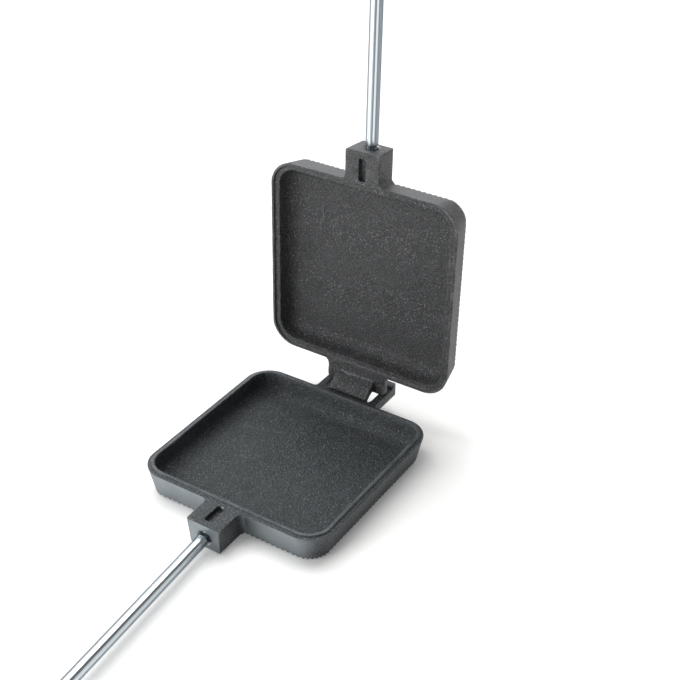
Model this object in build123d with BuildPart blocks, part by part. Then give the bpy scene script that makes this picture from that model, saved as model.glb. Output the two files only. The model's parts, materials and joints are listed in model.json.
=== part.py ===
"""Pie iron for campfire and hearth: two square cast-iron pans that hook together
along one edge, each on a threaded steel rod with a turned wooden grip.

Frame: millimetres, +Z up. The origin is the middle of the lower pan's ribbed underside,
which lies on the ground. X runs across the pans, the rods leave towards -Y and the hinge
is on the +Y side. The upper pan is built closed-side up like the lower one, then turned
onto it and swung open about the hinge, so every file is exported in the open pose.
"""
import math
import os

from build123d import *

# ---------------------------------------------------------------- pan castings
SIDE = 108.0            # outside of each pan at its rim, both ways
CORNER_R = 14.0         # outer corner radius at the rim
DEPTH = 14.9            # ribbed outer face to rim plane, one pan
DRAFT = 12.0            # slope of outer and inner walls, degrees
WALL = 4.0              # wall at the rim, outer edge to cavity edge
FLOOR = 4.5             # cavity floor to the rib tips
CAVITY_FILLET = 6.5     # big round between cavity walls and floor

# rims that nest when the pans close: a ridge on the lower, a rebate in the upper
RIDGE_INSET = 1.9       # outer edge of the rim to the lower pan's ridge
RIDGE_H = 1.0
LIP = 1.5               # width of the upper pan's outer lip
REBATE = 1.2            # depth of the upper pan's rebate behind the lip

# diagonal ribs on both outer faces
RIB_PITCH = 2.95        # measured along a side of the pan
RIB_DEPTH = 1.3
RIB_GAP = 1.5           # width of each groove at the rib tips
RIB_MARGIN = 2.0        # plain land between the last groove and a corner
PANEL = 34.0            # plain square panel in the middle of the ribs
PANEL_R = 4.0

# ---------------------------------------------------------------- rod sockets
BLOCK_W = 19.6          # socket block at the rim plane
BLOCK_OUT = 16.3        # how far it stands out from the rim
BLOCK_DRAFT = 4.5
BLOCK_CORNER = 1.2
BLOCK_ROOT = 2.6        # fillet where the block meets the wall
ROD_DROP = 8.6          # rim plane to rod axis
SLOT_W = 4.0            # blind slot over the thread
SLOT_DEEP = 2.4
SLOT_START = 0.6        # from the rim edge
SLOT_L = 11.8

# ---------------------------------------------------------------- rods
ROD_D = 6.35
ROD_LEN = 556.0         # threaded end to the end inside the grip
THREAD_D = 6.2
THREAD_ROOT_D = 5.0
THREAD_PITCH = 1.27
THREAD_TURNS = 11
THREAD_FLAT = 0.1       # width of a thread's crest, as part of the pitch
THREAD_FIT = 0.08       # radial clearance of the threaded end in its socket
THREAD_START = 1.0      # plain tip ahead of the thread
RELIEF_L = 2.4          # plain neck between thread and full rod
RELIEF_OUT = 1.2        # part of that neck left showing outside the socket
ROD_CHAMFER = 0.6
COUNTERSINK = 1.1       # extra radius of the socket mouth
SOCKET_MARGIN = 0.8     # bore beyond the rod's tip
LOWER_YAW = 4.2         # lower rod's sideways splay, so closed grips lie side by side

# ---------------------------------------------------------------- grips
GRIP_L = 128.0
GRIP_D = 20.0           # thickest part of the belly
GRIP_BELLY_AT = 74.0    # front of the grip to its thickest part
GRIP_NECK_D = 15.0
GRIP_PIN_D = 16.4       # thickness where the cross pin goes through
GRIP_END_D = 16.8
GRIP_DOME = 7.0         # length of the rounded end
DOME_BULGE = 0.74       # dome's radius, as part of the end's, 0.7 of the way along it
GRIP_TIP_R = 2.0        # flat left by the lathe at the tip
GROUND_GAP = 0.1        # lower grip's belly above the ground
GRIP_FIT = 0.05         # radial clearance of the rod in the wood
ROD_IN_GRIP = 108.0     # length of rod inside the wood
ROD_END_GAP = 0.5       # spare depth of its hole
FERRULE_L = 14.0
FERRULE_WALL = 0.8
FERRULE_FIT = 0.05
PIN_D = 3.0
PIN_FROM_FRONT = 27.0   # front of the grip to the cross pin
PIN_FIT = 0.03
PIN_PROUD = 0.5         # domed ends standing out of the wood
PIN_DOME = 0.7

# ---------------------------------------------------------------- hinge
WEB_SINK = 0.8          # start of the arms and the neck inside the wall
HINGE_OUT = 11.0        # rim edge to hinge axis, level with the rim plane
OPEN_ANGLE = 91.0       # upper pan's swing from closed to its open stop
ARM_INNER = 14.0        # half the gap between the lower pan's arms
ARM_W = 4.3
ARM_T = 5.4             # thickness of arms and cross bar
ARM_BELOW_RIM = 0.3     # clearance under the upper pan's neck
BAR_FRONT = 18.7        # rim edge to the near side of the cross bar
BAR_W = 4.9
BAR_RAISE = 1.3         # bar's top above the arms
ARM_ROOT = 3.5
BAR_CORNER = 1.8
OPENING_START = 1.4     # rim edge to the opening between the arms
OPENING_CORNER = 3.0
NECK_W = 35.4
NECK_T = 3.3
NECK_ROOT = 4.0
NECK_CORNER = 1.6
STOP_GAP = 0.04         # neck end to the arms' tops, fully open
HOOK_W = 22.4
HOOK_START = 7.0        # hinge axis to the root of the hook, closed
HOOK_LOW = 8.5          # hook's underside below the rim plane, closed
HOOK_T = 2.7            # thickness of the hook's lower leg
HOOK_TIP = 9.9          # hinge axis to the hook's tip, closed
HOOK_EDGE = 0.7
HOOK_HEEL = 0.6         # hinge axis to the end of its curved back, and to its inner side
HOOK_THROAT = 2.0       # depth at which its inner corner starts, and that corner's width
HOOK_BACK = ((0.28, 0.38), (0.62, 0.74))    # curved back, as parts of its run and drop

# derived
HALF = SIDE / 2
HINGE_Y = HALF + HINGE_OUT
ROD_Z = DEPTH - ROD_DROP
BLOCK_FACE = HALF + BLOCK_OUT
DEG = math.pi / 180
FACE_INSET = DEPTH * math.tan(DRAFT * DEG)
MOUTH_Y = BLOCK_FACE - ROD_DROP * math.tan(BLOCK_DRAFT * DEG)
THREAD_L = THREAD_START + THREAD_TURNS * THREAD_PITCH
TAPER_L = (ROD_D - THREAD_ROOT_D) / 2
ROD_TIP_IN = THREAD_L + RELIEF_L - RELIEF_OUT
BORE_DEPTH = ROD_TIP_IN + SOCKET_MARGIN
BORE_R = THREAD_D / 2 + THREAD_FIT
GRIP_START = ROD_LEN - ROD_IN_GRIP
INNER_HALF = HALF - WALL
BELLY_REACH = GRIP_START + GRIP_BELLY_AT - ROD_TIP_IN
LOWER_RISE = math.asin((GRIP_D / 2 + GROUND_GAP - ROD_Z) / BELLY_REACH) / DEG
NECK_PAST_HINGE = (
    ARM_BELOW_RIM - STOP_GAP + NECK_T * math.cos(OPEN_ANGLE * DEG)
) / math.sin(OPEN_ANGLE * DEG)


# ================================================================ shapes both pans share
def socket_block():
    """Drafted block on the -Y side that takes the rod."""
    back = HALF - 2 * WALL
    length = BLOCK_FACE - back
    with BuildPart() as block:
        with BuildSketch(Plane.XY.offset(DEPTH)):
            with Locations((0, -back - length / 2)):
                RectangleRounded(BLOCK_W, length, BLOCK_CORNER)
        extrude(amount=-DEPTH, taper=BLOCK_DRAFT)
    return block.part


def rib_gaps():
    """V grooves that run along (1, -1) in the outer face, one prism for each."""
    gap_pitch = RIB_PITCH / math.sqrt(2)
    corner_reach = SIDE / math.sqrt(2) - CORNER_R * (math.sqrt(2) - 1) - FACE_INSET
    gap_count = 2 * int((corner_reach - RIB_MARGIN) / gap_pitch) + 1
    across = Plane(origin=(0, 0, 0), x_dir=(1, 1, 0), z_dir=(1, -1, 0))
    with BuildPart() as gaps:
        with BuildSketch(across):
            with GridLocations(gap_pitch, 1, gap_count, 1):
                Polygon(
                    (-RIB_GAP / 2, 0), (-RIB_GAP / 2, -1), (RIB_GAP / 2, -1),
                    (RIB_GAP / 2, 0), (0, RIB_DEPTH), align=None,
                )
        extrude(amount=SIDE, both=True)
    return gaps.part


def pan_blank():
    """Drafted square body with its socket block, diagonal ribs and plain middle panel."""
    root_x = BLOCK_W / 2 - DEPTH / 2 * math.tan(BLOCK_DRAFT * DEG)
    root_y = FACE_INSET / 2 - HALF
    with BuildPart() as blank:
        with BuildSketch(Plane.XY.offset(DEPTH)):
            RectangleRounded(SIDE, SIDE, CORNER_R)
        extrude(amount=-DEPTH, taper=DRAFT)
        add(socket_block())
        roots = blank.edges().filter_by(
            lambda e: abs(abs(e.center().X) - root_x) < 0.3
            and abs(e.center().Y - root_y) < 0.3
            and abs(e.center().Z - DEPTH / 2) < 0.3
        )
        fillet(roots, BLOCK_ROOT)
        add(rib_gaps(), mode=Mode.SUBTRACT)
        add(socket_block())
        with BuildSketch(Plane.XY):
            RectangleRounded(PANEL, PANEL, PANEL_R)
        extrude(amount=2 * RIB_DEPTH)
    return blank.part


def root_web(top, width, reach, thick, root_r, end_r):
    """Flat web on the +Y side, its root corners swept into the wall, hung from plane top."""
    root = HALF - WEB_SINK
    end = HALF + reach
    with BuildPart() as web:
        with BuildSketch(top):
            with Locations((0, (root + end) / 2)):
                Rectangle(width, end - root)
            with Locations((0, root - WALL / 2)):
                Rectangle(width + 3 * root_r, WALL)
            corners = vertices().filter_by(lambda v: abs(abs(v.X) - width / 2) < 0.01)
            fillet(corners.filter_by(lambda v: abs(v.Y - root) < 0.01), root_r)
            ends = vertices().filter_by(lambda v: abs(v.Y - end) < 0.01)
            fillet(ends, end_r)
        extrude(amount=-thick)
    return web.part


def cavity_tool():
    """Solid that hollows a pan: drafted walls and a generous floor round."""
    with BuildPart() as tool:
        with BuildSketch(Plane.XY.offset(DEPTH)):
            RectangleRounded(2 * INNER_HALF, 2 * INNER_HALF, CORNER_R - WALL)
        extrude(amount=FLOOR - DEPTH, taper=DRAFT)
        fillet(tool.edges().group_by(Axis.Z)[0], CAVITY_FILLET)
        with BuildSketch(Plane.XY.offset(DEPTH)):
            RectangleRounded(2 * INNER_HALF, 2 * INNER_HALF, CORNER_R - WALL)
        extrude(amount=2 * RIDGE_H, taper=-DRAFT)
    return tool.part


def rod_plane(yaw, rise):
    """Plane at the mouth of the socket, whose normal is the rod's direction."""
    direction = (
        math.sin(yaw * DEG) * math.cos(rise * DEG),
        -math.cos(yaw * DEG) * math.cos(rise * DEG),
        math.sin(rise * DEG),
    )
    sideways = (math.cos(yaw * DEG), math.sin(yaw * DEG), 0)
    return Plane(origin=(0, -MOUTH_Y, ROD_Z), x_dir=sideways, z_dir=direction)


def socket_cut(yaw, rise):
    """Threaded bore, its countersunk mouth and the blind slot over the thread."""
    mouth = rod_plane(yaw, rise)
    with BuildPart() as cut:
        with BuildSketch(mouth):
            Circle(BORE_R)
        extrude(amount=-BORE_DEPTH)
        with BuildSketch(mouth):
            Circle(BORE_R + COUNTERSINK)
        extrude(amount=-COUNTERSINK, taper=45)
        with BuildSketch(mouth):
            Circle(BORE_R + COUNTERSINK)
        extrude(amount=2 * COUNTERSINK)
        with BuildSketch(Plane.XY.offset(DEPTH)):
            with Locations((0, -HALF - SLOT_START - SLOT_L / 2)):
                RectangleRounded(SLOT_W, SLOT_L, SLOT_W / 3)
        extrude(amount=-SLOT_DEEP)
    return cut.part


# ================================================================ lower pan
with BuildPart() as lower_pan:
    add(pan_blank())
    arms_top = Plane.XY.offset(DEPTH - ARM_BELOW_RIM)
    arms_w = 2 * (ARM_INNER + ARM_W)
    add(root_web(arms_top, arms_w, BAR_FRONT + BAR_W, ARM_T, ARM_ROOT, BAR_CORNER))
    # raised cross bar, its ends as round as the arms' corners
    with BuildSketch(arms_top):
        with Locations((0, HALF + BAR_FRONT + BAR_W / 2)):
            Rectangle(arms_w, BAR_W)
        bar_back = vertices().group_by(Axis.Y)[-1]
        fillet(bar_back, BAR_CORNER)
    extrude(amount=BAR_RAISE)
    # opening between the arms, where the upper pan's hook swings
    with BuildSketch(arms_top):
        with Locations((0, HALF + (OPENING_START + BAR_FRONT) / 2)):
            RectangleRounded(2 * ARM_INNER, BAR_FRONT - OPENING_START, OPENING_CORNER)
    extrude(amount=-ARM_T, mode=Mode.SUBTRACT)
    # ridge that nests behind the upper pan's lip
    ridge_side = SIDE - 2 * RIDGE_INSET
    with BuildSketch(Plane.XY.offset(DEPTH)):
        RectangleRounded(ridge_side, ridge_side, CORNER_R - RIDGE_INSET)
    extrude(amount=RIDGE_H)
    add(cavity_tool(), mode=Mode.SUBTRACT)
    add(socket_cut(LOWER_YAW, LOWER_RISE), mode=Mode.SUBTRACT)


# ================================================================ upper pan, cast rim up
def hook():
    """Hook on the upper pan: a web that leaves the neck and a leg that goes under the bar."""
    root = HINGE_Y - HOOK_START
    heel = HINGE_Y + HOOK_HEEL
    inside = HINGE_Y - HOOK_HEEL
    tip = HINGE_Y + HOOK_TIP
    low = DEPTH + HOOK_LOW
    leg = low - HOOK_T
    neck_back = DEPTH - NECK_T
    back = [(root + run * (heel - root), DEPTH + drop * HOOK_LOW) for run, drop in HOOK_BACK]
    with BuildPart() as piece:
        with BuildSketch(Plane.YZ):
            with BuildLine():
                Spline((root, DEPTH), *back, (heel, low), tangents=((0.6, 1.0), (1.0, 0.5)))
                Polyline(
                    (heel, low), (tip - HOOK_EDGE, low), (tip, low - HOOK_EDGE), (tip, leg),
                    (inside + HOOK_THROAT + HOOK_HEEL, leg), (inside, DEPTH + HOOK_THROAT),
                    (inside, neck_back), (root, neck_back), (root, DEPTH),
                )
            make_face()
        extrude(amount=HOOK_W / 2, both=True)
    return piece.part


with BuildPart() as upper_cast:
    add(pan_blank())
    neck_reach = HINGE_OUT + NECK_PAST_HINGE
    add(root_web(Plane.XY.offset(DEPTH), NECK_W, neck_reach, NECK_T, NECK_ROOT, NECK_CORNER))
    add(hook())
    # rebate behind the outer lip
    rebate_side = SIDE - 2 * LIP
    with BuildSketch(Plane.XY.offset(DEPTH)):
        RectangleRounded(rebate_side, rebate_side, CORNER_R - LIP)
    extrude(amount=-REBATE, mode=Mode.SUBTRACT)
    add(cavity_tool(), mode=Mode.SUBTRACT)
    add(socket_cut(0, 0), mode=Mode.SUBTRACT)

# ================================================================ rod, along +Z from its tip
crest = THREAD_D / 2
thread_root = THREAD_ROOT_D / 2
rod_outline = [(0, 0), (thread_root, 0)]
for turn in range(THREAD_TURNS):
    start = THREAD_START + turn * THREAD_PITCH
    rod_outline.append((thread_root, start))
    rod_outline.append((crest, start + (1 - THREAD_FLAT) / 2 * THREAD_PITCH))
    rod_outline.append((crest, start + (1 + THREAD_FLAT) / 2 * THREAD_PITCH))
rod_outline.append((thread_root, THREAD_L))
rod_outline.append((thread_root, THREAD_L + RELIEF_L))
rod_outline.append((ROD_D / 2, THREAD_L + RELIEF_L + TAPER_L))
rod_outline.append((ROD_D / 2, ROD_LEN - ROD_CHAMFER))
rod_outline.append((ROD_D / 2 - ROD_CHAMFER, ROD_LEN))
rod_outline.append((0, ROD_LEN))

with BuildPart() as rod:
    with BuildSketch(Plane.XZ):
        with BuildLine():
            Polyline(*rod_outline, close=True)
        make_face()
    revolve(axis=Axis.Z)
    with BuildSketch(Plane.YZ):
        with Locations((0, GRIP_START + PIN_FROM_FRONT)):
            Circle(PIN_D / 2 + PIN_FIT)
    extrude(amount=ROD_D, both=True, mode=Mode.SUBTRACT)

# ================================================================ grip, along +Z from its front
bore = ROD_D / 2 + GRIP_FIT
nose_r = GRIP_NECK_D / 2 - FERRULE_WALL - FERRULE_FIT
nose_l = FERRULE_L - FERRULE_WALL
bore_l = ROD_IN_GRIP + ROD_END_GAP
dome_at = GRIP_L - GRIP_DOME
dome_mid = (GRIP_END_D / 2 * DOME_BULGE, GRIP_L - 0.3 * GRIP_DOME)
with BuildPart() as grip:
    with BuildSketch(Plane.XZ):
        with BuildLine():
            Line((bore, 0), (nose_r, 0))
            Line((nose_r, 0), (nose_r, nose_l))
            Line((nose_r, nose_l), (GRIP_NECK_D / 2, nose_l))
            Spline(
                (GRIP_NECK_D / 2, nose_l), (GRIP_PIN_D / 2, PIN_FROM_FRONT),
                (GRIP_D / 2, GRIP_BELLY_AT), (GRIP_END_D / 2, dome_at),
                tangents=((0.02, 1.0), (-0.06, 1.0)),
            )
            ThreePointArc((GRIP_END_D / 2, dome_at), dome_mid, (GRIP_TIP_R, GRIP_L))
            Line((GRIP_TIP_R, GRIP_L), (0, GRIP_L))
            Line((0, GRIP_L), (0, bore_l))
            Line((0, bore_l), (bore, bore_l))
            Line((bore, bore_l), (bore, 0))
        make_face()
    revolve(axis=Axis.Z)
    with BuildSketch(Plane.YZ):
        with Locations((0, PIN_FROM_FRONT)):
            Circle(PIN_D / 2 + PIN_FIT)
    extrude(amount=GRIP_D, both=True, mode=Mode.SUBTRACT)

# ================================================================ ferrule, round the grip's nose
ferrule_r = GRIP_NECK_D / 2
mouth_r = ROD_D / 2 + FERRULE_FIT
with BuildPart() as ferrule:
    with BuildSketch(Plane.XZ):
        Polygon(
            (mouth_r, -FERRULE_WALL), (ferrule_r - FERRULE_WALL / 2, -FERRULE_WALL),
            (ferrule_r, -FERRULE_WALL / 2), (ferrule_r, nose_l),
            (ferrule_r - FERRULE_WALL, nose_l), (ferrule_r - FERRULE_WALL, 0), (mouth_r, 0),
            align=None,
        )
    revolve(axis=Axis.Z)

# ================================================================ cross pin, along X
with BuildPart() as pin:
    with BuildSketch(Plane.YZ):
        with Locations((0, PIN_FROM_FRONT)):
            Circle(PIN_D / 2)
    extrude(amount=GRIP_PIN_D / 2 + PIN_PROUD, both=True)
    fillet(pin.edges().filter_by(GeomType.CIRCLE), PIN_DOME)


# ================================================================ assembly, open as it stands
def on_rod(piece, yaw, rise, along):
    """Place a piece made along +Z at a distance along the rod from its threaded tip."""
    return rod_plane(yaw, rise).offset(along - ROD_TIP_IN).location * piece


def opened(piece):
    """Turn a piece cast rim up over onto the lower pan, then swing it open."""
    closed = piece.rotate(Axis((0, 0, DEPTH), (0, 1, 0)), 180)
    return closed.rotate(Axis((0, HINGE_Y, DEPTH), (1, 0, 0)), -OPEN_ANGLE)


with BuildPart() as lower_rod:
    add(on_rod(rod.part, LOWER_YAW, LOWER_RISE, 0))
with BuildPart() as lower_grip:
    add(on_rod(grip.part, LOWER_YAW, LOWER_RISE, GRIP_START))
with BuildPart() as lower_ferrule:
    add(on_rod(ferrule.part, LOWER_YAW, LOWER_RISE, GRIP_START))
with BuildPart() as lower_grip_pin:
    add(on_rod(pin.part, LOWER_YAW, LOWER_RISE, GRIP_START))
with BuildPart() as upper_pan:
    add(opened(upper_cast.part))
with BuildPart() as upper_rod:
    add(opened(on_rod(rod.part, 0, 0, 0)))
with BuildPart() as upper_grip:
    add(opened(on_rod(grip.part, 0, 0, GRIP_START)))
with BuildPart() as upper_ferrule:
    add(opened(on_rod(ferrule.part, 0, 0, GRIP_START)))
with BuildPart() as upper_grip_pin:
    add(opened(on_rod(pin.part, 0, 0, GRIP_START)))

os.makedirs("parts", exist_ok=True)
lower_pan.part.label = "lower_pan"
export_step(lower_pan.part, "parts/lower_pan.step")
lower_rod.part.label = "lower_rod"
export_step(lower_rod.part, "parts/lower_rod.step")
lower_grip.part.label = "lower_grip"
export_step(lower_grip.part, "parts/lower_grip.step")
lower_ferrule.part.label = "lower_ferrule"
export_step(lower_ferrule.part, "parts/lower_ferrule.step")
lower_grip_pin.part.label = "lower_grip_pin"
export_step(lower_grip_pin.part, "parts/lower_grip_pin.step")
upper_pan.part.label = "upper_pan"
export_step(upper_pan.part, "parts/upper_pan.step")
upper_rod.part.label = "upper_rod"
export_step(upper_rod.part, "parts/upper_rod.step")
upper_grip.part.label = "upper_grip"
export_step(upper_grip.part, "parts/upper_grip.step")
upper_ferrule.part.label = "upper_ferrule"
export_step(upper_ferrule.part, "parts/upper_ferrule.step")
upper_grip_pin.part.label = "upper_grip_pin"
export_step(upper_grip_pin.part, "parts/upper_grip_pin.step")

made = (
    lower_pan, lower_rod, lower_grip, lower_ferrule, lower_grip_pin,
    upper_pan, upper_rod, upper_grip, upper_ferrule, upper_grip_pin,
)
for piece in made:
    box = piece.part.bounding_box()
    print(f"{piece.part.label:15s} {piece.part.volume / 1000:8.2f} cm3"
          f"  x {box.min.X:7.2f} {box.max.X:7.2f}  y {box.min.Y:8.2f} {box.max.Y:7.2f}"
          f"  z {box.min.Z:7.2f} {box.max.Z:7.2f}")
print(f"hinge axis y {HINGE_Y:.2f} z {DEPTH:.2f}; lower rod climbs {LOWER_RISE:.3f} degrees")
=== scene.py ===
# %% [markdown]
# # A pie iron, standing open
# This lesson dresses a finished CAD model of a cast-iron pie iron: two square pans that hook
# together, each on a long steel rod with a wooden grip. The CAD model is loaded as a fixed
# frame in metres. New pieces are made from it or beside it, and ride on its two bodies.

# %% Load the frame
import json
import math

import bpy
import numpy as np
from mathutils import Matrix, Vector


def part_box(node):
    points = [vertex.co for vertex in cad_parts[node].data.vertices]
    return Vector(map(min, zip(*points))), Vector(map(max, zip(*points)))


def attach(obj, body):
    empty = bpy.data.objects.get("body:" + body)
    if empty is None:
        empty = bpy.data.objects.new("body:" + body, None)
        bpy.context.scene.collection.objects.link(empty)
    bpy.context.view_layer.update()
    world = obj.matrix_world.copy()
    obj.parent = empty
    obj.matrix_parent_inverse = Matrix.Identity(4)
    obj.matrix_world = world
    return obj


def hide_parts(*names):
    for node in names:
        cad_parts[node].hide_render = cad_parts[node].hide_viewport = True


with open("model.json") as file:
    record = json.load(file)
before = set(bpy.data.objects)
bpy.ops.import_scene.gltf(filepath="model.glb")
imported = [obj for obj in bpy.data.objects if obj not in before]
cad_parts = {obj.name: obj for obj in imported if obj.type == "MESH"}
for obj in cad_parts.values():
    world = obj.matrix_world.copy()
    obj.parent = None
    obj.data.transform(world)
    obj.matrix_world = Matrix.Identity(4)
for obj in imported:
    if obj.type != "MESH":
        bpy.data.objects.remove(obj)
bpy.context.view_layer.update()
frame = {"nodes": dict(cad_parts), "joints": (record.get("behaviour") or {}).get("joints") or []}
MM = 0.001
LOWER, UPPER = "lower_half", "upper_half"
print("nodes", sorted(frame["nodes"]))

# %% [markdown]
# ## The camera comes first
# The photograph looks down at the iron from the front right. A camera is an empty point, a
# direction and a lens. These numbers were worked out by fitting the edges of the pans, so
# everything modelled later can be compared with the photograph. The small shift moves the
# picture's middle, because the photograph was cropped off centre.

# %% Camera
CAMERA_PLACE = Vector((0.29383, -0.41805, 0.41169))
CAMERA_AZIMUTH = math.radians(33.13)
CAMERA_DOWN = math.radians(35.02)
PHOTO_SIDE = 680
FOCAL_PIXELS = 1282
PHOTO_CENTRE = (322.4, 384.3)
SENSOR = 36.0
NEAREST, FARTHEST = 0.05, 20

look = Vector((
    -math.sin(CAMERA_AZIMUTH) * math.cos(CAMERA_DOWN),
    math.cos(CAMERA_AZIMUTH) * math.cos(CAMERA_DOWN),
    -math.sin(CAMERA_DOWN),
))
camera_data = bpy.data.cameras.new("camera")
camera_data.sensor_width = SENSOR
camera_data.lens = FOCAL_PIXELS / PHOTO_SIDE * SENSOR
camera_data.shift_x = (PHOTO_SIDE / 2 - PHOTO_CENTRE[0]) / PHOTO_SIDE
camera_data.shift_y = (PHOTO_CENTRE[1] - PHOTO_SIDE / 2) / PHOTO_SIDE
camera_data.clip_start = NEAREST
camera_data.clip_end = FARTHEST
camera = bpy.data.objects.new("camera", camera_data)
camera.location = CAMERA_PLACE
camera.rotation_euler = look.to_track_quat("-Z", "Y").to_euler()
bpy.context.scene.collection.objects.link(camera)
bpy.context.scene.camera = camera
print("lens", round(camera_data.lens, 2), "mm, looking along", [round(c, 3) for c in look])

# %% [markdown]
# ## Short ways to build a graph
# A procedural material is a small graph of nodes, and so is the world. Writing each one out
# in full would hide what matters, so a helper adds a node and fills its sockets in one line.
# A value that comes out of another node is linked, and any other value is typed in. Numbers
# that are the same all over a surface are always typed in.

# %% Graph helpers
MIX_SHARE, MIX_FIRST, MIX_SECOND, MIX_COLOUR = 0, 6, 7, 2


class Graph:
    """A tree of nodes, with short ways to add to it."""

    def __init__(self, tree):
        self.tree = tree

    def fill(self, socket, value):
        """Links a socket to another node's output, or types the value in."""
        if isinstance(value, bpy.types.NodeSocket):
            self.tree.links.new(value, socket)
        elif socket.type == "RGBA":
            socket.default_value = (*value, 1)
        else:
            socket.default_value = value

    def add(self, kind, *values, out=0, settings=None, **named):
        """Adds a node, fills its first sockets and its named ones, and gives one output."""
        node = self.tree.nodes.new("ShaderNode" + kind)
        for key, value in (settings or {}).items():
            setattr(node, key, value)
        for socket, value in zip(node.inputs, values):
            self.fill(socket, value)
        for name, value in named.items():
            self.fill(node.inputs[name.replace("_", " ")], value)
        return node.outputs[out]

    def ramp(self, value, low, high, start=0.0, end=1.0):
        """Goes from start to end as the value goes from low to high, and stays there."""
        return self.add("MapRange", value, low, high, start, end)

    def plus(self, a, b):
        return self.add("Math", a, b, settings={"operation": "ADD"})

    def times(self, a, b):
        return self.add("Math", a, b, settings={"operation": "MULTIPLY"})

    def larger(self, a, b):
        return self.add("Math", a, b, settings={"operation": "MAXIMUM"})

    def mixed(self, share, first, second):
        """Goes from the first colour to the second as the share goes from 0 to 1."""
        node = self.tree.nodes.new("ShaderNodeMix")
        node.data_type = "RGBA"
        self.fill(node.inputs[MIX_SHARE], share)
        self.fill(node.inputs[MIX_FIRST], first)
        self.fill(node.inputs[MIX_SECOND], second)
        return node.outputs[MIX_COLOUR]

    def seen_plainly(self):
        """One for what is seen directly, in a gloss or through glass, else zero."""
        rays = self.tree.nodes.new("ShaderNodeLightPath").outputs
        plainly = self.larger(rays["Is Camera Ray"], rays["Is Glossy Ray"])
        return self.larger(plainly, rays["Is Transmission Ray"])


# %% [markdown]
# A finish is the graph of one material. Its patterns read object coordinates, which are
# metres in the frame, so a noise of scale 1000 has features a millimetre across, and a
# pattern stays on its piece when the iron closes. Drawn steel and wood have features far
# longer than they are wide, so their coordinates are first divided by the feature's size.

# %% Finish helpers
class Finish(Graph):
    """A material with its graph, its shader and the coordinates of its piece."""

    def __init__(self, name):
        self.material = bpy.data.materials.new(name)
        self.material.use_nodes = True
        super().__init__(self.material.node_tree)
        self.shader = self.tree.nodes["Principled BSDF"]
        self.place = self.add("TexCoord", out="Object")

    def noise(self, scale, detail, place=None, roughness=0.5):
        return self.add("TexNoise", Vector=place or self.place, Scale=scale, Detail=detail,
                        Roughness=roughness)

    def along(self, feature, turn):
        """Object coordinates unturned by turn, then divided by the size of a feature."""
        return self.add("Mapping", self.place, settings={"vector_type": "TEXTURE"},
                        Scale=feature, Rotation=turn)

    def bump(self, height, distance, **normal):
        return self.add("Bump", Height=height, Distance=distance, **normal)

    def shade(self, **inputs):
        """Fills the shader's own sockets and gives the finished material."""
        for name, value in inputs.items():
            self.fill(self.shader.inputs[name.replace("_", " ")], value)
        return self.material


# %% [markdown]
# ## Cast iron
# The pans are sand castings under a black seasoned coat. The front walls of the lower pan are
# smooth and satin, and pick up the pale floor. Everything else is more grainy and dull: grains
# of sand have left pits, painted darker as painted shade, and the peaks between them are painted
# lighter as painted light. A picture of cast iron could be wrapped round the pans, but noise has
# no seams and keeps its size. Mottle is broad and faint, grain is about a millimetre across, and
# painted glints are the brightest dots among the peaks.

# %% The iron's coat
MOTTLE = 90
GRAIN = 1000
GLINTS_PAINTED = 1500


def iron_coat(iron, grey, smooth, mottle, grain):
    """Black with painted light on the peaks, painted shade in the pits and painted glints where
    it is coarse, an even grey where it is smooth.
    """
    # Painted shade and light: the grain's pits are painted darker and its peaks lighter.
    painted_peak_light = iron.ramp(iron.plus(grain, iron.times(mottle, 0.25)), 0.44, 0.82)
    grit_with_painted_pit_shade = iron.mixed(painted_peak_light, grey(0.002), grey(0.040))
    # Painted glints: random bright dots of colour among the peaks.
    painted_glints = iron.ramp(iron.noise(GLINTS_PAINTED, 1), 0.60, 0.72)
    grit_with_painted_glints = iron.mixed(iron.times(painted_glints, 0.8), grit_with_painted_pit_shade, grey(0.20))
    satin = iron.mixed(mottle, grey(0.22), grey(0.33))
    return iron.mixed(smooth, grit_with_painted_glints, satin)


print("grains are", 1000 / GRAIN, "mm across")


# %% [markdown]
# Edges that rub are lighter, and inner corners are painted darker as painted shade. Pointiness
# tells them apart: it is a half on a flat face, more on an edge and less in a corner. A few
# specks have begun to rust.

# %% The iron's wear and painted corner shade
RUST_SPECKS = 500
RUST = (0.12, 0.05, 0.02)


def iron_wear_and_corner_shade(iron, grey, coat):
    """The coat with rubbed edges, painted shade in inner corners and specks of rust."""
    point = iron.add("NewGeometry", out="Pointiness")
    rubbed = iron.mixed(iron.ramp(point, 0.515, 0.57, 0.0, 0.7), coat, grey(0.16))
    # Painted shade: inner corners, where pointiness is low, are painted darker.
    painted_corner_shade = iron.mixed(iron.ramp(point, 0.43, 0.488, 0.85, 0.0), rubbed, grey(0.006))
    specks = iron.ramp(iron.noise(RUST_SPECKS, 1), 0.83, 0.84)
    return iron.mixed(specks, painted_corner_shade, RUST)


print("rust specks are", 1000 / RUST_SPECKS, "mm across")


# %% [markdown]
# One material does both kinds of surface, so there is no hard line where they meet. It reads
# how coarse each place is from an attribute that is put on the mesh later. Where the iron is
# smooth it is shaded mostly as bare metal, and where it is coarse the grain is also a bump.
# The upper pan is a little warmer than the lower one.

# %% Cast iron material
LOWER_TINT = (0.92, 1.0, 1.05)
UPPER_TINT = (0.985, 1.0, 1.03)


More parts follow.
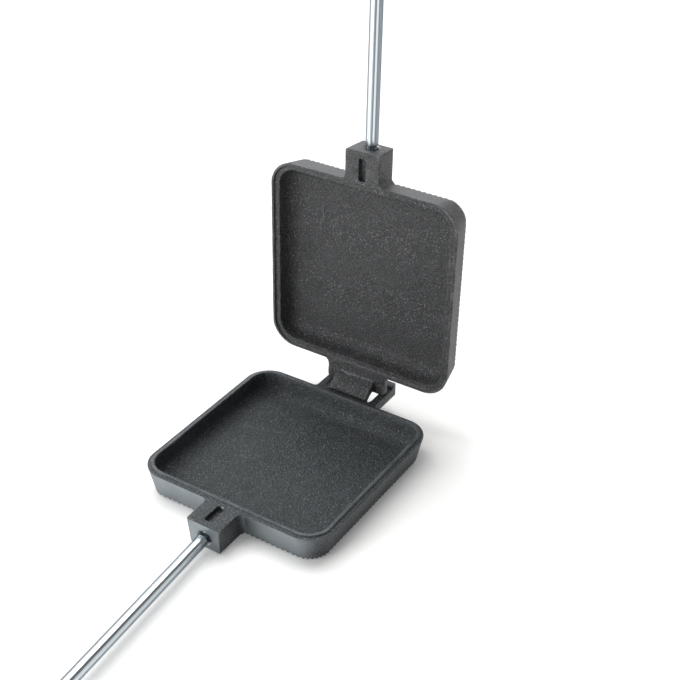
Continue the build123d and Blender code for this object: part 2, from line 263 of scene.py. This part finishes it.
def cast_iron(name, tint):
    iron = Finish(name)

    def grey(level):
        return [level * part for part in tint]

    coarse = iron.add("Attribute", out="Fac", settings={"attribute_name": "coarse"})
    smooth = iron.ramp(coarse, 0.0, 0.5, 1.0, 0.0)
    mottle = iron.noise(MOTTLE, 4)
    grain = iron.noise(GRAIN, 2, roughness=0.6)
    tone = iron_wear_and_corner_shade(iron, grey, iron_coat(iron, grey, smooth, mottle, grain))
    gloss = iron.plus(iron.ramp(grain, 0.3, 0.7, 0.36, 0.46), iron.times(coarse, 0.10))
    fine = iron.bump(mottle, 0.2 * MM)
    rough = iron.bump(iron.times(grain, coarse), 1.0 * MM, Normal=fine)
    return iron.shade(Base_Color=tone, Roughness=gloss, Normal=rough,
                      Metallic=iron.times(smooth, 0.8),
                      Specular_IOR_Level=0.65, Specular_Tint=grey(0.72))


lower_iron = cast_iron("cast_iron_lower", LOWER_TINT)
upper_iron = cast_iron("cast_iron_upper", UPPER_TINT)
print("made", lower_iron.name, "and", upper_iron.name)

# %% [markdown]
# Where the rod screws in, the mouth of the socket was cut after casting, so it shows bare
# grey iron. Fine noise gives it uneven tones, gloss and a very shallow bump.

# %% Machined iron
def bare_iron():
    bare = Finish("machined_iron")
    marks = bare.noise(2600, 2)
    tone = bare.mixed(marks, (0.10, 0.11, 0.12), (0.42, 0.44, 0.46))
    return bare.shade(Base_Color=tone, Metallic=1.0,
                      Roughness=bare.ramp(marks, 0.3, 0.7, 0.24, 0.40),
                      Normal=bare.bump(marks, 0.05 * MM))


machined_iron = bare_iron()
print("made", machined_iron.name)

# %% [markdown]
# ## Zinc-plated steel
# The rods are drawn steel with a bright zinc coat. Drawing leaves streaks that run the whole
# length, some bright and some dull, and their colours are also a painted reflection: the light
# and dark bands that a round rod mirrors are painted along it as bright and dull streaks. They
# come from noise whose features are about two millimetres across and longer than the rod. The
# noise is turned with the rod first, because a streak that is not quite in line would break up
# into dashes. The lower rod lies along Y, climbing a little and turned to one side, and the
# upper rod stands along Z, leaning a little.

# %% How each rod lies
LOWER_TURN = (math.radians(-0.43), 0.0, math.radians(4.2))
UPPER_TURN = (math.radians(-1.0), 0.0, 0.0)


def across_and_along(half, across, length):
    """The size of a feature: across the rod, and along it."""
    return (across, length, across) if half == "lower" else (across, across, length)


print("a lower feature of 2 by 900 mm is", across_and_along("lower", 2, 900))

# %% [markdown]
# Dull streaks are darker and less glossy than bright ones; the dark and light streak colours are
# partly painted reflection. Fine hairs along the rod, under half a millimetre across, are a bump
# so shallow that it shows only in the reflections.

# %% Rod materials
def zinc_plate(half, turn, width):
    zinc = Finish("zinc_plate_" + half)
    streaks = zinc.noise(1, 2, zinc.along(across_and_along(half, width, 0.9), turn))
    hairs = zinc.noise(1, 2, zinc.along(across_and_along(half, 0.4 * MM, 0.12), turn))
    bright_streaks_and_painted_reflection = zinc.ramp(streaks, 0.43, 0.58)
    # Painted reflection: the dark and bright streak colours stand in for the bands a rod
    # reflects.
    tone = zinc.mixed(bright_streaks_and_painted_reflection, (0.17, 0.195, 0.22), (0.66, 0.71, 0.74))
    gloss = zinc.ramp(bright_streaks_and_painted_reflection, 0.0, 1.0, 0.30, 0.20)
    return zinc.shade(Base_Color=tone, Metallic=1.0, Roughness=gloss,
                      Specular_Tint=(0.55, 0.58, 0.62), Normal=zinc.bump(hairs, 0.008 * MM))


lower_zinc = zinc_plate("lower", LOWER_TURN, 2.4 * MM)
upper_zinc = zinc_plate("upper", UPPER_TURN, 1.5 * MM)
print("made", lower_zinc.name, "and", upper_zinc.name)

# %% [markdown]
# ## Turned wood
# The grips are turned hardwood under clear lacquer. The grain runs along the grip: bands of
# lighter and darker wood bent by noise, with fine dark pores among them. The lacquer is a
# thin clear coat over both, so the wood shines softly and evenly.

# %% Grip materials
def turned_wood(half, turn):
    wood = Finish("turned_wood_" + half)
    grain = wood.along(across_and_along(half, 4.5 * MM, 70 * MM), turn)
    rings = wood.add("TexWave", grain, out="Fac",
                     settings={"wave_type": "BANDS", "bands_direction": "X"},
                     Scale=1.0, Distortion=5.0, Detail=3.0, Detail_Scale=1.2)
    pores = wood.noise(1, 3, wood.along(across_and_along(half, 0.6 * MM, 9 * MM), turn))
    tone = wood.mixed(rings, (0.36, 0.19, 0.085), (0.60, 0.37, 0.18))
    pored = wood.mixed(wood.ramp(pores, 0.58, 0.75, 0.0, 0.6), tone, (0.16, 0.075, 0.03))
    return wood.shade(Base_Color=pored, Roughness=wood.ramp(pores, 0.3, 0.7, 0.30, 0.42),
                      Coat_Weight=0.35, Coat_Roughness=0.18,
                      Normal=wood.bump(pores, 0.05 * MM))


lower_wood = turned_wood("lower", LOWER_TURN)
upper_wood = turned_wood("upper", UPPER_TURN)
print("made", lower_wood.name, "and", upper_wood.name)

# %% [markdown]
# ## Plain steel
# A ferrule, the cap on the front of a grip, and the pin that crosses it are plain bright
# steel. Faint noise in tone and gloss keeps them from looking like plastic.

# %% Steel materials
def plain_steel(name, darker, lighter, marks_per_metre):
    steel = Finish(name)
    marks = steel.noise(marks_per_metre, 3)
    return steel.shade(Base_Color=steel.mixed(marks, darker, lighter), Metallic=1.0,
                       Roughness=steel.ramp(marks, 0.3, 0.7, 0.25, 0.4),
                       Normal=steel.bump(marks, 0.02 * MM))


ferrule_steel = plain_steel("ferrule_steel", (0.40, 0.41, 0.42), (0.60, 0.61, 0.62), 700)
pin_steel = plain_steel("pin_steel", (0.42, 0.43, 0.44), (0.66, 0.67, 0.68), 900)
print("made", ferrule_steel.name, "and", pin_steel.name)

# %% [markdown]
# ## The pieces that keep their shape
# Rods, grips, ferrules and pins were drawn or turned, so the CAD solids are already true to
# them. They stay as they are, and only the materials in their slots change.

# %% Dress the CAD nodes that stay
def dress(node, finish):
    for one in frame["nodes"][node].material_slots:
        one.material = finish
    print(node, "is now", finish.name)


dress("lower_rod", lower_zinc)
dress("upper_rod", upper_zinc)
dress("lower_grip", lower_wood)
dress("upper_grip", upper_wood)
for half in ("lower", "upper"):
    dress(half + "_ferrule", ferrule_steel)
    dress(half + "_grip_pin", pin_steel)

# %% [markdown]
# ## The castings: where each place is
# What is done to the castings depends on the place: hollow, rim, hook or wall. The upper pan
# stands open on its hinge, so its points and directions are first turned back to how that pan
# was cast, rim up like the lower one. Then one rule in millimetres serves both pans.

# %% Turning the upper pan back
hinge = frame["joints"][0]["pos_m"]
HINGE_Y = hinge[1] / MM
DEPTH = hinge[2] / MM
HALF_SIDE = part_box("lower_pan")[1].x / MM
OPEN_ANGLE = math.radians(91.0)


def turned_back(values, opened, pivot):
    """Points or directions in the frame that their pan was cast in, rim up."""
    x, y, z = values.reshape(-1, 3).T
    if opened:
        y, z = y - pivot[0], z - pivot[1]
        y, z = (y * math.cos(OPEN_ANGLE) - z * math.sin(OPEN_ANGLE),
                y * math.sin(OPEN_ANGLE) + z * math.cos(OPEN_ANGLE))
        x, y, z = -x, y + pivot[0], pivot[1] - z
    return x, y, z


def read(piece, what):
    values = np.empty(len(piece.data.vertices) * 3)
    piece.data.vertices.foreach_get(what, values)
    return values


def points_of(piece, opened):
    return turned_back(read(piece, "co") / MM, opened, (HINGE_Y, DEPTH))


def normals_of(piece, opened):
    return turned_back(read(piece, "normal"), opened, (0, 0))


print("a pan is", round(2 * HALF_SIDE, 2), "mm wide and", round(DEPTH, 2), "mm deep")


# %% [markdown]
# ## The castings: which places are coarse
# The hollow is pebbled all over, and so is the floor of the small slot in the socket block.
# The hollow is a square with round corners, so a point's reach is measured from the middle,
# and round the corners it is measured from where the corner's curve starts.

# %% Where the iron is pebbled
CORNER_START = 40.0
HOLLOW_HALF = 50.6
HOLLOW_FLOOR = 3.9
HOLLOW_TOP = DEPTH - 0.4
SLOT_HALF = 2.2
SLOT_TOP = DEPTH - 0.3
FACES_UP = 0.3


def reach_of(x, y):
    return CORNER_START + np.hypot(np.maximum(abs(x) - CORNER_START, 0),
                                   np.maximum(abs(y) - CORNER_START, 0))


def is_pebbled(piece, opened):
    """True for the points of the hollow and of the slot's floor."""
    x, y, z = points_of(piece, opened)
    up = normals_of(piece, opened)[2]
    hollow = (reach_of(x, y) < HOLLOW_HALF) & (z > HOLLOW_FLOOR) & (z < HOLLOW_TOP)
    slot = (abs(x) < SLOT_HALF) & (y < -HALF_SIDE) & (z < SLOT_TOP) & (up > FACES_UP)
    return hollow | slot


print("the hollow starts", round(HALF_SIDE - HOLLOW_HALF, 1), "mm in from the outside")


# %% [markdown]
# The hook is almost as coarse as the hollow, and the rims are less so. The walls differ: the
# lower pan's front and back are the smoothest, its sides are duller, and the upper pan is
# duller all round. A duller wall is also darker in colour, so the darker sides are painted
# shade, set by which way each wall faces. Coarseness runs from 0 to 1 and is kept on the mesh
# for the material.

# %% How coarse each place is
HOOK_START = HALF_SIDE + 2
HOOK_FLOOR = DEPTH + 1.3
RIM_FLOOR = DEPTH - 2
RIM_REACH = 52.4
INNER_RIM_FLOOR = DEPTH - 1.2
HOOK_COARSE = 0.9
RIM_COARSE = 0.7
# The side values also paint shade: they make the side walls darker than the front ones.
LOWER_WALLS_SIDES_SHADED = {"front": 0.0, "side": 0.60}
UPPER_WALLS_SIDES_SHADED = {"front": 0.36, "side": 0.76}


def how_coarse(piece, opened):
    """One where the iron is pebbled, less on the hook, the rim and the walls."""
    x, y, z = points_of(piece, opened)
    sideways, _, up = normals_of(piece, opened)
    hook = (y > HOOK_START) & (z > HOOK_FLOOR)
    facing_up = np.clip((up - 0.45) / 0.35, 0, 1) * (z > RIM_FLOOR)
    inner_rim = (reach_of(x, y) < RIM_REACH) & (z > INNER_RIM_FLOOR)
    rim = np.maximum(facing_up, inner_rim) * RIM_COARSE
    walls = UPPER_WALLS_SIDES_SHADED if opened else LOWER_WALLS_SIDES_SHADED
    # Painted shade: the more a wall faces sideways, the duller and darker it is painted.
    wall_with_painted_side_shade = walls["front"] + (walls["side"] - walls["front"]) * abs(sideways)
    cast = np.where(hook, HOOK_COARSE, np.maximum(wall_with_painted_side_shade, rim))
    return np.where(is_pebbled(piece, opened), 1.0, cast)


print("coarseness of the walls", LOWER_WALLS_SIDES_SHADED, UPPER_WALLS_SIDES_SHADED)


# %% [markdown]
# ## The castings: an even skin
# A sand casting has no sharp edge and no perfectly flat face. The CAD solids have both. So
# each pan is copied, its loose triangles are merged, and a voxel remesh turns it into an even
# skin whose edges are as soft as those of a real casting. A bevel would round the edges too,
# but it leaves long thin faces that noise can't press. Operators act on whatever is selected,
# and the loaded nodes arrive selected, so a piece is first made the only selected one.

# %% Copy a pan and skin it
SEAM = 0.002 * MM
SKIN = 0.3 * MM


def select_only(piece):
    if bpy.context.object and bpy.context.object.mode != "OBJECT":
        bpy.ops.object.mode_set(mode="OBJECT")
    bpy.ops.object.select_all(action="DESELECT")
    piece.select_set(True)
    bpy.context.view_layer.objects.active = piece


def apply_modifiers(piece):
    select_only(piece)
    for modifier in list(piece.modifiers):
        bpy.ops.object.modifier_apply(modifier=modifier.name)


def merged_copy(node, name):
    piece = bpy.data.objects.new(name, frame["nodes"][node].data.copy())
    bpy.context.scene.collection.objects.link(piece)
    select_only(piece)
    bpy.ops.mesh.customdata_custom_splitnormals_clear()
    bpy.ops.object.mode_set(mode="EDIT")
    bpy.ops.mesh.select_all(action="SELECT")
    bpy.ops.mesh.remove_doubles(threshold=SEAM)
    bpy.ops.mesh.normals_make_consistent(inside=False)
    bpy.ops.object.mode_set(mode="OBJECT")
    return piece


def skin(piece):
    even = piece.modifiers.new("skin", "REMESH")
    even.mode = "VOXEL"
    even.voxel_size = SKIN
    apply_modifiers(piece)
    print(piece.name, "has a skin of", len(piece.data.polygons), "faces")


# %% [markdown]
# ## The castings: sand and shot
# Noise then pulls the skin inwards: sand, broad and shallow, all over, and shot, finer and
# deeper, where the iron is pebbled. A vertex group says where that is, and it is smoothed a
# little so that the pits fade out. Both only pull inwards, so the pans still nest and the
# hinge still clears. A skin this fine has far more faces than it needs, so it is thinned last.

# %% Press the skin and thin it
SAND_DEPTH = 0.06 * MM
SHOT_DEPTH = 0.13 * MM
TRIANGLES = 190000


def cloud_texture(name, size, detail):
    texture = bpy.data.textures.new(name, type="CLOUDS")
    texture.noise_scale = size
    texture.noise_depth = detail
    texture.noise_basis = "IMPROVED_PERLIN"
    return texture


def mark_pebbled(piece, opened):
    group = piece.vertex_groups.new(name="pebbled")
    group.add(np.nonzero(is_pebbled(piece, opened))[0].tolist(), 1.0, "REPLACE")
    bpy.ops.object.mode_set(mode="WEIGHT_PAINT")
    bpy.ops.object.vertex_group_smooth(factor=0.5, repeat=3)
    bpy.ops.object.mode_set(mode="OBJECT")


def press(piece, texture, depth, group=""):
    pressed = piece.modifiers.new(texture.name, "DISPLACE")
    pressed.texture = texture
    pressed.texture_coords = "LOCAL"
    pressed.strength = depth
    pressed.mid_level = 1.0
    pressed.vertex_group = group


def thin(piece):
    fewer = piece.modifiers.new("fewer", "DECIMATE")
    fewer.ratio = TRIANGLES / (2 * len(piece.data.polygons))
    apply_modifiers(piece)


sand = cloud_texture("sand", 6 * MM, 2)
shot = cloud_texture("shot", 1.8 * MM, 1)
print("sand is", round(SAND_DEPTH / MM, 2), "mm deep and shot", round(SHOT_DEPTH / MM, 2))

# %% [markdown]
# ## The castings: iron and bare mouths
# The coarseness goes onto the mesh, and the casting gets its two materials. The faces inside
# the socket's bore, near its mouth, are the machined ones, and all others are cast.

# %% Give the castings their iron
SOCKET_Y = 62.0
SOCKET_Z = 6.3
SOCKET_R = 4.35


def give_iron(piece, opened, finish):
    mark = piece.data.attributes.new("coarse", "FLOAT", "POINT")
    mark.data.foreach_set("value", how_coarse(piece, opened).astype(np.float32))
    piece.data.materials.clear()
    piece.data.materials.append(finish)
    piece.data.materials.append(machined_iron)
    x, y, z = points_of(piece, opened)
    cut = (np.hypot(x, z - SOCKET_Z) < SOCKET_R) & (y < -SOCKET_Y)
    for face in piece.data.polygons:
        if cut[list(face.vertices)].all():
            face.material_index = 1


print("machined within", SOCKET_R, "mm of the bore's axis")


# %% [markdown]
# ## The two castings
# The steps above now make each casting in turn. It takes the place of its CAD pan in the
# picture, while the CAD pan stays in the frame for collision, and it rides on that pan's half.

# %% Make the castings
def casting(node, name, opened, finish):
    piece = merged_copy(node, name)
    skin(piece)
    mark_pebbled(piece, opened)
    press(piece, sand, SAND_DEPTH)
    press(piece, shot, SHOT_DEPTH, "pebbled")
    thin(piece)
    bpy.ops.object.shade_smooth()
    give_iron(piece, opened, finish)
    print(name, len(piece.data.vertices), "points", len(piece.data.polygons), "faces")
    return piece


lower_casting = casting("lower_pan", "lower_casting", False, lower_iron)
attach(lower_casting, LOWER)
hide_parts("lower_pan")
upper_casting = casting("upper_pan", "upper_casting", True, upper_iron)
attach(upper_casting, UPPER)
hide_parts("upper_pan")

# %% [markdown]
# ## The floor
# The photograph has a plain white ground, with soft shadow only close round the iron. The
# floor is pale and matt and takes the real shadow. To the camera and in reflections it also
# glows a little. That glow is added on top, so the open floor is white and only places that
# most of the light can't reach stay grey.

# %% Floor
FLOOR_SIDE = 12
FLOOR_DROP = 0.2 * MM
FLOOR_GLOW = 0.14
bpy.ops.object.select_all(action="DESELECT")
bpy.ops.mesh.primitive_plane_add(size=FLOOR_SIDE, location=(0, 0, -FLOOR_DROP))
floor = bpy.context.object
floor.name = "floor"
paper = Finish("floor_paper")
floor.data.materials.append(paper.shade(
    Base_Color=(0.9, 0.9, 0.89), Roughness=0.9, Specular_IOR_Level=0.1,
    Emission_Color=(1, 1, 1), Emission_Strength=paper.times(paper.seen_plainly(), FLOOR_GLOW)))
print("floor", FLOOR_SIDE, "m a side,", round(FLOOR_DROP / MM, 2), "mm under the iron")

# %% [markdown]
# ## The world
# The world fills in the shadows, more from the left than from the right. What the camera and
# the metal see of it is another matter: it is white near the ground, like the floor, and falls
# off to a grey ceiling, darkest on the right. Satin walls and rods need that to have a light
# side and a dark side, because evenly white surroundings would make them look flat.

# %% World
world = bpy.data.worlds.new("studio")
bpy.context.scene.world = world
world.use_nodes = True
studio = Graph(world.node_tree)
direction = studio.add("TexCoord", out="Generated")
rightward = studio.add("SeparateXYZ", direction, out="X")
upward = studio.add("SeparateXYZ", direction, out="Z")
fill_light = studio.ramp(rightward, -0.7, 0.7, 0.45, 0.05)
ceiling = studio.ramp(rightward, -0.5, 0.4, 0.75, 0.15)
shown = studio.ramp(upward, 0.2, 0.5, 1.0, ceiling)
level = studio.ramp(studio.seen_plainly(), 0.0, 1.0, fill_light, shown)
background = studio.tree.nodes["Background"]
studio.fill(background.inputs["Color"], (1, 1, 1))
studio.fill(background.inputs["Strength"], level)
print("world", world.name, "with", len(studio.tree.nodes), "nodes")

# %% [markdown]
# ## The lamps
# The main light comes from a broad soft source overhead, a little behind and to the left, so
# shadows are short and fall to the front and right. A sun lamp with a wide angle does this
# and lights the far floor as much as the near. A panel lifts the walls that face the camera.

# %% Lamps
MIDDLE = (0, 0.02, 0.05)


def lamp(kind, name, place, power, **settings):
    data = bpy.data.lights.new(name, kind)
    data.energy = power
    for key, value in settings.items():
        setattr(data, key, value)
    made = bpy.data.objects.new(name, data)
    made.location = place
    toward = Vector(MIDDLE) - Vector(place)
    made.rotation_euler = toward.to_track_quat("-Z", "Y").to_euler()
    bpy.context.scene.collection.objects.link(made)
    print("lamp", name, power)


lamp("SUN", "overhead", (-0.33, 0.33, 1.0), 3.1, angle=math.radians(60))
lamp("AREA", "front_panel", (-0.55, -1.0, 0.28), 12, size=0.7)

# %% [markdown]
# ## Picture settings
# The Standard view transform leaves a colour as bright as it is, so the white ground stays
# white. Every other setting of the view stays at its default.

# %% Picture settings
bpy.context.scene.view_settings.view_transform = "Standard"
print("view transform", bpy.context.scene.view_settings.view_transform)
